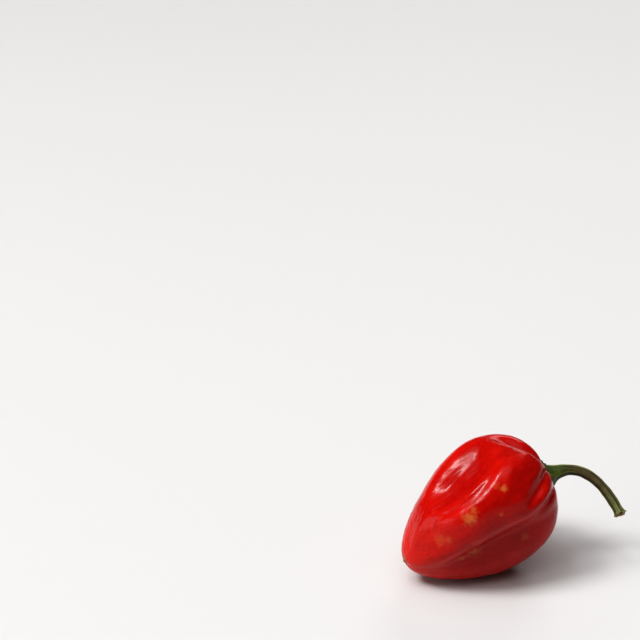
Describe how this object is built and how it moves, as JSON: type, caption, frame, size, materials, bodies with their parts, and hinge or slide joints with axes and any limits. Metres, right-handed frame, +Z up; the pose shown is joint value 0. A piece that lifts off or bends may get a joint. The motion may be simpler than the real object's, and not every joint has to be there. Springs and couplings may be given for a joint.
{
  "type": "habanero pepper",
  "caption": "Lobed red habanero pepper lying on its side, with a curved green stem, a calyx and a small scar at its tip.",
  "frame": {"origin": "middle of the bottom of the box round the whole pepper, on the surface it rests on", "axes": "+X runs from the tip of the fruit towards its stem, +Z is up as the pepper lies on its side"},
  "size_m": [0.0462, 0.025, 0.03],
  "materials": {
    "red_skin": "waxy red skin with a soft gloss, a few pale orange spots and fine wrinkles",
    "green_stem": "ribbed olive green with purple-brown streaks, tan and rough at the cut end",
    "tan_scar": "dry tan cork"
  },
  "bodies": {
    "root": {"fruit": "red_skin", "stem": "green_stem", "style_scar": "tan_scar"}
  },
  "joints": []
}
